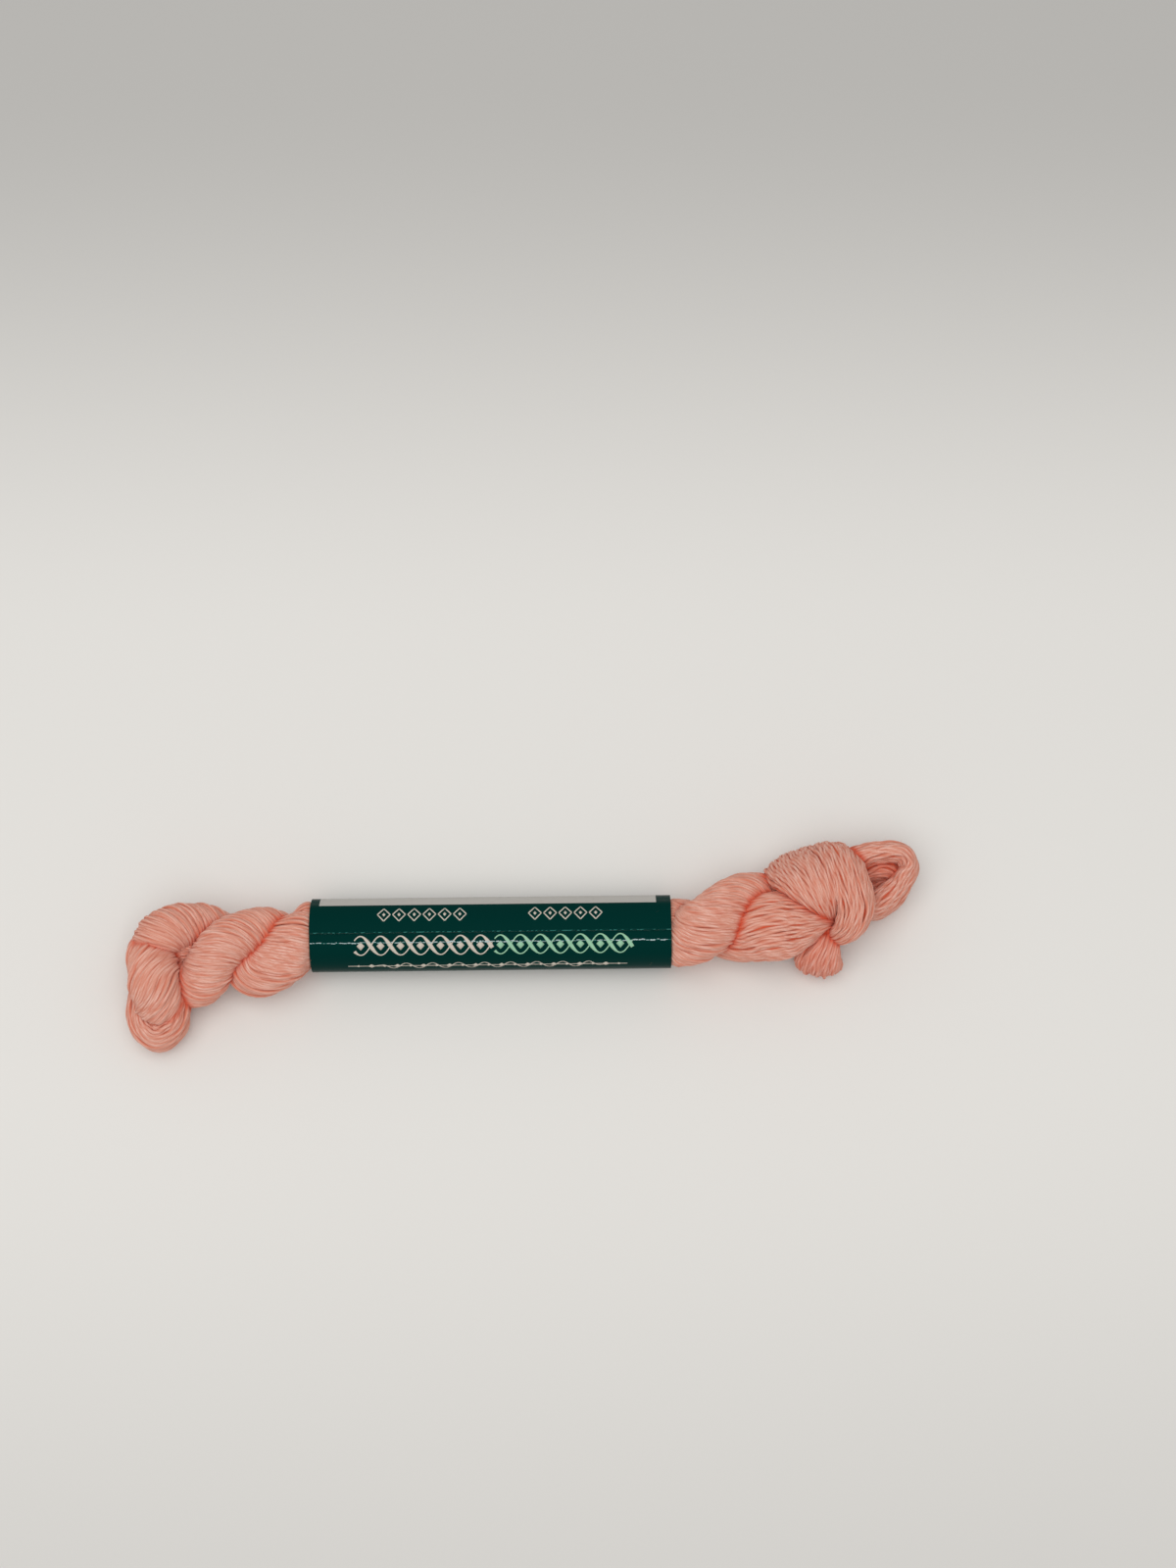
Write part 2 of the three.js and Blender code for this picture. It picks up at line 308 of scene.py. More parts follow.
class Bundle:
    """A bundle of strands, sampled evenly along its path."""

    def __init__(self, name, step=None):
        heart = HEARTS.get(name)
        step = step or (0.32 if heart else 0.45)
        rows = np.array(BUNDLES[name], float)
        last = len(rows) - 1
        fine = np.linspace(0, last, last * 30 + 1)
        path = curve_through(rows[:, :3], fine)
        steps = np.linalg.norm(np.diff(path, axis=0), axis=1)
        lengths = np.concatenate([[0], np.cumsum(steps)])
        self.along = np.linspace(0, lengths[-1], int(lengths[-1] / step) + 2)
        where = np.interp(self.along, lengths, fine)
        values = curve_through(rows, where)
        self.name = name
        lay = values[:, 5]
        steps = np.diff(self.along) * (lay[1:] + lay[:-1]) / 2
        self.turn = np.concatenate([[0], np.cumsum(steps)]) / (2 * np.pi)
        self.centre = values[:, :3]
        self.wide = values[:, 3:4]
        self.deep = values[:, 4:5]
        end = np.clip(1 - np.minimum(where, last - where) / 0.5, 0, 1)
        self.round = np.sqrt(1 - end**2)[:, None]
        self.tangent = unit(np.gradient(self.centre, axis=0))
        outward = np.tile([0.0, 0.0, 1.0], (len(where), 1))
        if heart:
            outward = self.centre - np.array(heart)
        self.outward = unit(outward - dot(outward, self.tangent) * self.tangent)
        self.side = np.cross(self.tangent, self.outward)

    def girth(self):
        """The length round each section."""
        a, b = self.wide * self.round, self.deep * self.round
        return np.pi * (3 * (a + b) - np.sqrt((3 * a + b) * (a + 3 * b)))[:, 0]

    def angles_at(self, shares):
        """Angles round the sections for evenly set strands; shares are strands x sections."""
        grid = np.linspace(0, 2 * np.pi, 73)
        speed = np.hypot(self.wide * np.sin(grid), self.deep * np.cos(grid))
        steps = (speed[:, 1:] + speed[:, :-1]) / 2
        arcs = np.concatenate([np.zeros((len(steps), 1)), np.cumsum(steps, axis=1)], axis=1)
        arcs /= arcs[:, -1:]
        angles = np.empty_like(shares)
        for section, arc in enumerate(arcs):
            angles[:, section] = np.interp(shares[:, section] % 1, arc, grid)
        return angles

    def surface(self, angles):
        """Points and normals on the bundle at these angles."""
        cos, sin = np.cos(angles)[..., None], np.sin(angles)[..., None]
        reach = self.wide * cos * self.side + self.deep * sin * self.outward
        normals = unit(cos / self.wide * self.side + sin / self.deep * self.outward)
        return self.centre + self.round * reach, normals

    def depth_of(self, points):
        """How far points lie under the bundle's surface, negative outside it."""
        nearest = np.concatenate(
            [
                ((some[:, None] - self.centre[None]) ** 2).sum(axis=2).argmin(axis=1)
                for some in np.array_split(points, max(1, len(points) // 4000))
            ]
        )
        gap = points - self.centre[nearest]
        wide, deep = self.wide[nearest], self.deep[nearest]
        shrink = np.maximum(self.round[nearest], 0.35)
        a = dot(gap, self.side[nearest]) / (wide * shrink)
        b = dot(gap, self.outward[nearest]) / (deep * shrink)
        c = dot(gap, self.tangent[nearest]) / np.minimum(wide, deep)
        reach = np.sqrt(a**2 + b**2 + c**2)
        return ((1 - reach) * np.sqrt(wide * deep))[:, 0]


def heart_depth(points):
    """How far points lie inside the ball of yarn that the knot is tied round."""
    half = np.array(KNOT_HEART["half"])
    reach = np.linalg.norm((points - np.array(KNOT_HEART["at"])) / half, axis=1)
    return (1 - reach) * half.min()


def within_sleeve(points, margin):
    """Points drawn in so that they pass the sleeve's mouths, and free again outside them."""
    made = points.copy()
    outside = np.maximum(np.abs(points[..., 0]) - MOUTH_AT, 0)
    limit = BORE_RADIUS - margin + 1.5 * outside + 0.5 * outside**2
    across = points[..., 1]
    above = points[..., 2] - SLEEVE_HEIGHT
    reach = np.maximum(np.hypot(across, above), 1e-6)
    scale = (1 + (reach / limit) ** 10) ** -0.1
    made[..., 1] = across * scale
    made[..., 2] = SLEEVE_HEIGHT + above * scale
    return made


def rings_round(path, radius, angle, normal, across):
    """Rings of points round a path, at these angles from its normals."""
    cos, sin = np.cos(angle)[None, :, None], np.sin(angle)[None, :, None]
    return path[:, None] + radius[..., None] * (cos * normal[:, None] + sin * across[:, None])


class Mould:
    """Collects vertices, faces and their attributes, and makes one mesh object of them."""

    def __init__(self):
        self.points = []
        self.faces = []
        self.kinds = []
        self.crevice = []
        self.groove = []
        self.fibre = []
        self.count = 0

    def add(self, points, faces, kind=0, wool=None):
        self.points.append(points)
        self.faces.extend((np.asarray(faces) + self.count).tolist())
        self.kinds.extend([kind] * len(faces))
        if wool is not None:
            for kept, values in zip((self.crevice, self.groove, self.fibre), wool):
                kept.append(values)
        self.count += len(points)

    def skin(self, rings, kind=0, wool=None):
        """A closed skin over rings of points: rings x points round x 3.

        For wool, each point also has how much painted shade it takes for lying deep in a fold
        and in the grooves between two strands, from 0 to 1, and its place in the twisted fibres.
        """
        long, round_, _ = rings.shape
        ids = np.arange(long * round_).reshape(long, round_)
        after = np.roll(ids, -1, axis=1)
        quads = np.stack([ids[:-1], after[:-1], after[1:], ids[1:]], axis=-1).reshape(-1, 4)
        self.add(rings.reshape(-1, 3), quads, kind, wool)
        start = self.count - long * round_
        for cap in (ids[0][::-1], ids[-1]):
            self.faces.append((cap + start).tolist())
            self.kinds.append(kind)

    def cast(self, name, materials):
        shift = np.array([sleeve_middle.x, sleeve_middle.y, 0.0])
        points = np.concatenate(self.points) * MM + shift
        mesh = bpy.data.meshes.new(name)
        mesh.from_pydata(points, [], self.faces, shade_flat=False)
        mesh.polygons.foreach_set("material_index", self.kinds)
        if self.crevice:
            for title, values in (("crevice", self.crevice), ("groove", self.groove)):
                deep = mesh.attributes.new(title, "FLOAT", "POINT")
                deep.data.foreach_set("value", np.concatenate(values).astype(np.float32))
            fibre = mesh.attributes.new("fibre", "FLOAT_VECTOR", "POINT")
            values = np.concatenate(self.fibre).astype(np.float32).ravel()
            fibre.data.foreach_set("vector", values)
        mesh.update()
        made = bpy.data.objects.new(name, mesh)
        bpy.context.scene.collection.objects.link(made)
        for material in materials:
            mesh.materials.append(material)
        return made


def dress(piece, node):
    """Puts a piece on the skein in place of a solid."""
    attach(piece, "root")
    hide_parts(node)


class Shader:
    """A small helper for a material's nodes."""

    def __init__(self, name):
        self.material = bpy.data.materials.new(name)
        self.material.use_nodes = True
        self.tree = self.material.node_tree
        self.surface = self.tree.nodes["Principled BSDF"]

    def put(self, socket, value):
        """Links another node's output to the socket, or sets the socket's own value."""
        if isinstance(value, bpy.types.NodeSocket):
            self.tree.links.new(value, socket)
        else:
            socket.default_value = value

    def node(self, kind, inputs=None, **settings):
        made = self.tree.nodes.new(kind)
        for name, value in settings.items():
            setattr(made, name, value)
        for name, value in (inputs or {}).items():
            self.put(made.inputs[name], value)
        return made

    def attribute(self, name):
        return self.node("ShaderNodeAttribute", attribute_name=name)

    def mix(self, share, a, b):
        """Colour a, going to colour b where the share is 1."""
        made = self.node("ShaderNodeMix", data_type="RGBA")
        for number, value in zip((0, 6, 7), (share, a, b)):
            self.put(made.inputs[number], value)
        return made.outputs[2]

    def spread(self, value, low, high, to_low=0.0, to_high=1.0):
        """The value, spread smoothly from its low and high bounds to others."""
        made = self.node(
            "ShaderNodeMapRange",
            {0: value, 1: low, 2: high, 3: to_low, 4: to_high},
            interpolation_type="SMOOTHSTEP",
        )
        return made.outputs[0]

    def noise(self, vector, scale, detail=2.0, roughness=0.5):
        made = self.node(
            "ShaderNodeTexNoise",
            {"Vector": vector, "Scale": scale, "Detail": detail, "Roughness": roughness},
        )
        return made.outputs["Fac"]

    def stretched(self, vector, scale):
        return self.node(
            "ShaderNodeMapping", {"Vector": vector, "Scale": scale}
        ).outputs["Vector"]

    def object_place(self):
        return self.node("ShaderNodeTexCoord").outputs["Object"]

    def finish(self, colour, bump=None, depth=0.0, strength=1.0, **values):
        self.put(self.surface.inputs["Base Color"], colour)
        if bump is not None:
            made = self.node(
                "ShaderNodeBump", {"Height": bump, "Distance": depth, "Strength": strength}
            )
            self.put(self.surface.inputs["Normal"], made.outputs[0])
        for name, value in values.items():
            self.surface.inputs[name.replace("_", " ")].default_value = value
        return self.material


def opaque(colour):
    return (*colour, 1.0)


def wool_material():
    """Soft matte wool: fine twisted fibres along each strand, with painted shade: a darker colour
    in the grooves between strands and deeper coral in the folds.
    """
    found = bpy.data.materials.get("merino_wool")
    if found:
        return found
    yarn = bpy.context.scene.skein_yarn
    shader = Shader("merino_wool")
    fibre = shader.attribute("fibre").outputs["Vector"]
    crevice = shader.attribute("crevice").outputs["Fac"]
    groove = shader.attribute("groove").outputs["Fac"]
    fine = shader.noise(fibre, 1.0, 3.0, 0.6)
    patches = shader.noise(shader.object_place(), 70.0, 2.0)
    light, shade = opaque(yarn.light_colour), opaque(yarn.shade_colour)
    body = shader.mix(shader.spread(fine, 0.38, 0.62), shade, light)
    tinted = shader.mix(
        shader.spread(patches, 0.42, 0.62, 0.0, 0.35), body, opaque(yarn.blush_colour)
    )
    # Painted shade: darker in the grooves between strands, deeper coral in the folds
    grooved = shader.mix(shader.spread(groove, 0.0, 0.6), tinted, opaque(yarn.painted_groove_shade_colour))
    colour = shader.mix(crevice, grooved, opaque(yarn.painted_fold_shade_colour))
    return shader.finish(
        colour,
        bump=fine,
        depth=0.00012,
        strength=0.6,
        Roughness=0.85,
        Specular_IOR_Level=0.12,
        Sheen_Weight=0.22,
        Sheen_Roughness=0.45,
        Sheen_Tint=opaque((1.0, 0.80, 0.72)),
    )


def heart_material():
    """The yarn that shows only in the grooves between strands, coloured in painted shade: a dark
    red for the shadow deep there.
    """
    yarn = bpy.context.scene.skein_yarn
    shader = Shader("yarn_in_grooves")
    grain = shader.noise(shader.object_place(), 1500.0, 3.0)
    colour = shader.mix(
        shader.spread(grain, 0.3, 0.7),
        opaque(yarn.heart_shade_colour),
        opaque(yarn.painted_fold_shade_colour),
    )
    return shader.finish(
        colour, bump=grain, depth=0.0002, Roughness=0.95, Specular_IOR_Level=0.05
    )


def lay_strands(bundle, neighbours, yarn, rng):
    """The strands on a bundle: points, normals, half widths, painted shade for lying in a fold and
    length along.
    """
    width = yarn.strand_width / MM
    girth = bundle.girth()
    spacing = width * yarn.packing * PRESSED.get(bundle.name, 1.0)
    count = max(6, round(girth.max() / spacing))
    along = bundle.along
    numbers = np.arange(count)[:, None]

    def per_strand(low, high):
        return rng.uniform(low, high, (count, 1))

    phase = per_strand(0, 2 * np.pi)
    shared = rng.uniform(0, 2 * np.pi, 4)
    sway = np.sin(2 * np.pi * along / 21 + numbers * 0.9 + shared[0])
    sway = sway + 0.6 * np.sin(2 * np.pi * along / 9.5 - numbers * 1.7 + shared[1])
    own = np.sin(2 * np.pi * along / per_strand(6, 12) + phase)
    wander = yarn.wander * LOOSE.get(bundle.name, 1.0) * (0.55 * sway + 0.35 * own)
    strays = per_strand(0, 1) < STRAY_SHARE
    drift = per_strand(-STRAY_DRIFT, STRAY_DRIFT) * (along / along[-1] - 0.5) * strays
    shares = (numbers + per_strand(-0.12, 0.12) + wander + drift) / count + bundle.turn
    points, normals = bundle.surface(bundle.angles_at(shares))

    # Where a bundle narrows, some strands dive under the others
    room = np.maximum(girth / count / spacing, 0.02)
    rank = per_strand(0, 1)
    dive = smooth(-0.05, 0.25, rank - room * 1.15) * 0.35 * width
    lift = 0.16 * np.sin(2 * np.pi * along / per_strand(9, 17) + 1.7 * phase)
    lift = lift * width + 0.35 * width * strays
    half = width / 2 * np.clip(room**0.5, 0.55, 1.0) * per_strand(0.9, 1.1)
    sink = half + dive - lift + 0.06 * width
    points = points - sink[..., None] * normals

    # What would reach under the table is left out or raised
    below = points[..., 2] < -0.5
    points = within_sleeve(points, width / 2 + 0.05)
    points[..., 2] = np.maximum(points[..., 2], half * (1 + yarn.ply_relief) + 0.02)

    flat = points.reshape(-1, 3)
    under = heart_depth(flat)
    fold = np.full(len(flat), -9.0)
    for other in neighbours:
        if other is bundle or other.name in CORES:
            continue
        depth = other.depth_of(flat)
        under = np.maximum(under, depth)
        pair = tuple(sorted((bundle.name, other.name)))
        fold = np.maximum(fold, depth - SHALLOW_FOLDS.get(pair, 0.0))
    under = under.reshape(points.shape[:2])
    fold = fold.reshape(points.shape[:2])
    buried = under >= (CORE_BURIED if bundle.name in CORES else BURIED)
    shown = ~buried & ~below & (np.abs(points[..., 0]) > UNSEEN_TO)
    shown &= (bundle.round[:, 0] > 0.25)[None]
    # Painted shade: the colour goes to the painted fold shade colour deeper in the folds between
    # bundles
    crevice = np.maximum(smooth(-1.5, 0.3, fold), SHADED.get(bundle.name, 0.0))

    lines = []
    fewest = 7
    longer = round(RUN_ON / (along[1] - along[0]))
    for k in range(count):
        seen = np.convolve(shown[k], np.ones(2 * longer + 1), "same") > 0
        edges = np.flatnonzero(np.diff(np.concatenate([[0], seen.astype(int), [0]])))
        for start, stop in zip(edges[::2], edges[1::2]):
            if stop - start < fewest:
                continue
            part = slice(start, stop)
            lines.append(
                (points[k, part], normals[k, part], half[k, part], crevice[k, part], along[part])
            )
    return lines


def spin_strand(mould, line, yarn, rng):
    """One strand of two plies twisted together, as a closed tube with tapered ends."""
    points, normals, half, crevice, along = line
    tangent = unit(np.gradient(points, axis=0))
    normal = unit(normals - dot(normals, tangent) * tangent)
    across = np.cross(tangent, normal)
    count = len(points)
    taper = np.minimum(1, np.minimum(np.arange(count), np.arange(count)[::-1]) * 0.3 + 0.25)
    angle = np.arange(STRAND_SIDES) * 2 * np.pi / STRAND_SIDES
    pitch = yarn.ply_pitch / MM
    twist = 2 * np.pi * along[:, None] / pitch + rng.uniform(0, 2 * np.pi)
    lobes = 1 + yarn.ply_relief * np.cos(2 * angle[None] - twist)
    rings = rings_round(points, (half * taper)[:, None] * lobes, angle, normal, across)
    spun = angle[None] - twist / 2
    start = rng.uniform(0, 500)
    fibre = np.stack(
        [
            np.broadcast_to(along[:, None] * FIBRES_ALONG + start, spun.shape),
            FIBRES_ROUND * np.cos(spun),
            FIBRES_ROUND * np.sin(spun),
        ],
        axis=-1,
    )
    depth = np.repeat(crevice, STRAND_SIDES)
    # Painted shade: a strand's sides, where it meets its neighbours, and the valleys between its
    # two plies take the painted shade colour of the grooves
    groove = 0.5 - 0.5 * np.cos(angle)[None] + 0.16 * (1 - np.cos(2 * angle[None] - twist))
    mould.skin(rings, wool=(depth, groove.ravel(), fibre.reshape(-1, 3)))


def length_setting(name, description, default, low, high):
    return bpy.props.FloatProperty(
        name=name,
        description=description,
        default=default,
        min=low,
        max=high,
        precision=5,
        subtype="DISTANCE",
        unit="LENGTH",
    )


def colour_setting(name, description, default):
    return bpy.props.FloatVectorProperty(
        name=name, description=description, default=default, min=0.0, max=1.0, subtype="COLOR"
    )


class SkeinYarnSettings(bpy.types.PropertyGroup):
    strand_width: length_setting(
        "Strand Width", "How thick one strand of yarn is", 0.00088, 0.0003, 0.002
    )
    ply_pitch: length_setting(
        "Ply Pitch",
        "Length in which a strand's two plies turn once round each other",
        0.0034,
        0.001,
        0.02,
    )
    ply_relief: bpy.props.FloatProperty(
        name="Ply Relief",
        description="How much the two plies stand out of a strand's roundness",
        default=0.20,
        min=0.0,
        max=0.4,
        subtype="FACTOR",
    )
    packing: bpy.props.FloatProperty(
        name="Packing",
        description="Distance between neighbouring strands, in strand widths",
        default=0.82,
        min=0.6,
        max=1.5,
    )
    wander: bpy.props.FloatProperty(
        name="Wander",
        description="How far a strand strays sideways from its place, in strands",
        default=0.42,
        min=0.0,
        max=2.0,
    )
    loose_fibres: bpy.props.IntProperty(
        name="Loose Fibres",
        description="Number of fine fibres that stand out of the yarn",
        default=5500,
        min=0,
        max=9000,
    )
    light_colour: colour_setting(
        "Light Colour", "Colour of the wool where its fibres lie open", (0.84, 0.515, 0.43)
    )
    shade_colour: colour_setting(
        "Shade Colour", "Colour of the wool between its fibres", (0.70, 0.325, 0.24)
    )
    blush_colour: colour_setting(
        "Blush Colour", "Colour of the slightly redder patches of the dye", (0.77, 0.37, 0.275)
    )
    # Painted shade in the grooves between strands
    painted_groove_shade_colour: colour_setting(
        "Groove Colour", "Colour in the grooves between neighbouring strands", (0.65, 0.215, 0.14)
    )
    # Painted shade deep in the folds between bundles: the wool's colour darkened and reddened
    painted_fold_shade_colour: colour_setting(
        "Crevice Colour",
        "Colour deep in the folds, where light passes through the wool",
        (0.66, 0.10, 0.045),
    )
    # Painted shade for the yarn seen only between strands
    heart_shade_colour: colour_setting(
        "Heart Colour", "Colour of the yarn seen only between strands", (0.62, 0.15, 0.08)
    )


class SkeinSleeveSettings(bpy.types.PropertyGroup):
    length: length_setting(
        "Length", "Length of the sleeve along the skein", sleeve_high.x - sleeve_low.x, 0.01, 0.2
    )
    radius: length_setting("Radius", "Outside radius of the rolled paper", 0.0078, 0.002, 0.03)
    paper: length_setting("Paper", "Thickness of the laminated paper", 0.00027, 0.00005, 0.0005)
    green: colour_setting("Green", "Printed ground of the sleeve", (0.0, 0.0275, 0.0235))
    panel: colour_setting(
        "Writing Panel", "Unprinted panel along the back of the sleeve", (0.50, 0.485, 0.455)
    )
    cream: colour_setting("Cream", "Cream ornament", (0.66, 0.60, 0.52))
    mint: colour_setting("Mint", "Mint ornament", (0.34, 0.62, 0.42))
    # Colour of the sleeve's cut ends, also used for the painted highlights along the lapped edge
    # and the crease
    cut_edge_and_highlight: colour_setting(
        "Worn Edge", "Lapped edge, where the ink is rubbed", (0.02, 0.16, 0.14)
    )


class SkeinStudioSettings(bpy.types.PropertyGroup):
    floor: colour_setting("Floor", "Colour of the table", (0.80, 0.79, 0.768))
    lamp_power: bpy.props.FloatProperty(
        name="Lamp Power",
        description="Power of the large soft lamp",
        default=5.9,
        min=0.0,
        max=500.0,
        unit="POWER",
    )
    lamp_size: length_setting("Lamp Size", "Side of the soft lamp", 1.0, 0.05, 5.0)
    sky: bpy.props.FloatProperty(
        name="Sky",
        description="Strength of the even light from all round",
        default=0.50,
        min=0.0,
        max=5.0,
    )


class SKEIN_OT_yarn_heart(bpy.types.Operator):
    """Make the yarn that shows deep in the grooves between strands, coloured in painted shade"""

    bl_idname = "skein.yarn_heart"
    bl_label = "Yarn Heart"

    def execute(self, context):
        inset, sides = 0.42, 26
        margin, lowest = 0.75, 0.12
        mould = Mould()
        angles = np.arange(sides) * 2 * np.pi / sides
        for name in BUNDLES:
            bundle = Bundle(name, step=1.2)
            bundle.wide = np.maximum(bundle.wide - inset, 0.3)
            bundle.deep = np.maximum(bundle.deep - inset, 0.3)
            bundle.round = np.maximum(bundle.round, 0.02)
            grid = np.broadcast_to(angles[:, None], (sides, len(bundle.along)))
            points, _ = bundle.surface(grid)
            points = within_sleeve(points, margin)
            points[..., 2] = np.maximum(points[..., 2], lowest)
            mould.skin(points.transpose(1, 0, 2)[::-1])
        up = np.linspace(0.02, np.pi - 0.02, 16)
        ball = np.stack(
            [
                np.sin(up)[:, None] * np.cos(angles)[None],
                np.sin(up)[:, None] * np.sin(angles)[None],
                np.broadcast_to(-np.cos(up)[:, None], (len(up), sides)),
            ],
            axis=-1,
        )
        half = np.array(KNOT_HEART["half"]) - inset
        mould.skin(ball * half + np.array(KNOT_HEART["at"]))
        heart = mould.cast("yarn_heart", [heart_material()])
        dress(heart, "yarn_hank")
        return {"FINISHED"}


class SKEIN_OT_strands(bpy.types.Operator):
    """Lay the strands of yarn round every bundle of the skein"""

    bl_idname = "skein.strands"
    bl_label = "Strands"

    def execute(self, context):
        yarn = context.scene.skein_yarn
        rng = np.random.default_rng(SEED)
        bundles = {name: Bundle(name) for name in BUNDLES}
        neighbours = list(bundles.values())
        for piece_name, names in STRAND_PIECES.items():
            mould = Mould()
            for name in names:
                for line in lay_strands(bundles[name], neighbours, yarn, rng):
                    spin_strand(mould, line, yarn, rng)
            if not mould.points:
                raise RuntimeError(f"{piece_name} has no strands")
            piece = mould.cast(piece_name, [wool_material()])
            dress(piece, "yarn_hank")
        return {"FINISHED"}


class SKEIN_OT_loose_fibres(bpy.types.Operator):
    """Scatter fine fibres that stand out of the strands"""

    bl_idname = "skein.loose_fibres"
    bl_label = "Loose Fibres"

    def execute(self, context):
        yarn = context.scene.skein_yarn
        rng = np.random.default_rng(SEED + 1)
        mould = Mould()
        sides, rings = 3, 6
        angle = np.arange(sides) * 2 * np.pi / sides
        reach = np.linspace(0, 1, rings)[:, None]
        shift = np.array([sleeve_middle.x, sleeve_middle.y, 0.0])
        share = yarn.loose_fibres // len(STRAND_PIECES)
        for name in STRAND_PIECES:
            mesh = bpy.data.objects[name].data
            places = np.empty(len(mesh.vertices) * 3)
            mesh.vertices.foreach_get("co", places)
            places = (places.reshape(-1, 3) - shift) / MM
            facing = np.empty(len(mesh.vertices) * 3)
            mesh.vertices.foreach_get("normal", facing)
            facing = facing.reshape(-1, 3)
            deep = np.empty(len(mesh.vertices))
            mesh.attributes["crevice"].data.foreach_get("value", deep)
            open_yarn = np.flatnonzero((deep < 0.6) & (places[:, 2] > 0.8))
            for root in rng.choice(open_yarn, share):
                out = facing[root]
                lean = unit(rng.normal(size=3))
                lean = unit(lean - 0.6 * np.dot(lean, out) * out)
                length = rng.uniform(0.5, 1.7)
                curl = unit(rng.normal(size=3)) * rng.uniform(0.2, 0.7)
                bend = unit(rng.normal(size=3)) * rng.uniform(0.04, 0.12)
                path = (
                    places[root]
                    - 0.1 * out
                    + length * reach * (0.5 * out + 0.8 * lean)
                    + length * reach**2 * (curl - 0.35 * out)
                    + length * np.sin(5.0 * reach) * bend
                )
                path[:, 2] = np.maximum(path[:, 2], 0.05)
                tangent = unit(np.gradient(path, axis=0))
                normal = unit(np.cross(tangent, rng.normal(size=3)))
                across = np.cross(tangent, normal)
                thin = rng.uniform(0.009, 0.015) * (1 - 0.7 * reach)
                open_ = np.zeros(sides * rings)
                tone = np.full((sides * rings, 3), rng.uniform(0, 50))
                mould.skin(
                    rings_round(path, thin, angle, normal, across), wool=(open_, open_, tone)
                )
        piece = mould.cast("loose_fibres", [wool_material()])
        dress(piece, "yarn_hank")
        return {"FINISHED"}


def lap_rise(degrees):
    """How far the lapped edge lifts the paper at an angle round the sleeve."""
    on_top = (degrees >= LAP_FROM) & (degrees <= LAP_EDGE + 0.01)
    return np.where(on_top, LAP_RISE * smooth(LAP_FROM, LAP_FULL, degrees), 0.0)


def on_sleeve(x, degrees, radius, floor):
    turn = np.radians(degrees)
    height = SLEEVE_HEIGHT + radius * np.sin(turn)
    return np.stack(
        np.broadcast_arrays(x, radius * np.cos(turn), np.maximum(height, floor)), axis=-1
    )


def laminate_material(name, colour):
    """Printed paper under a thin glossy film."""
    shader = Shader(name)
    place = shader.object_place()
    ripple = shader.noise(shader.stretched(place, (60.0, 400.0, 400.0)), 1.0, 2.0)
    specks = shader.noise(place, 2600.0, 2.0)
    worn = shader.mix(
        shader.spread(specks, 0.66, 0.80, 0.0, 0.25),
        opaque(colour),
        opaque(tuple(min(1.0, c * 1.6 + 0.004) for c in colour)),
    )
    return shader.finish(
        worn,
        bump=ripple,
        depth=0.00003,
        strength=0.35,
        Roughness=0.25,
        IOR=1.09,
    )


def bare_paper_material(name, colour):
    """Unprinted paper with faint grey scuffs."""
    shader = Shader(name)
    place = shader.object_place()
    scuffs = shader.noise(shader.stretched(place, (700.0, 1800.0, 1800.0)), 1.0, 4.0, 0.65)
    tone = shader.mix(
        shader.spread(scuffs, 0.52, 0.72, 0.0, 0.35),
        opaque(colour),
        opaque(tuple(c * 0.72 for c in colour)),
    )
    return shader.finish(
        tone, bump=scuffs, depth=0.00002, Roughness=0.5, Specular_IOR_Level=0.25
    )


def ink_material(name, colour):
    shader = Shader(name)
    grain = shader.noise(shader.object_place(), 3500.0, 3.0, 0.6)
    tone = shader.mix(
        shader.spread(grain, 0.35, 0.75, 0.0, 0.5),
        opaque(colour),
        opaque(tuple(c * 0.7 for c in colour)),
    )
    return shader.finish(tone, bump=grain, depth=0.00001, Roughness=0.4, Specular_IOR_Level=0.2)


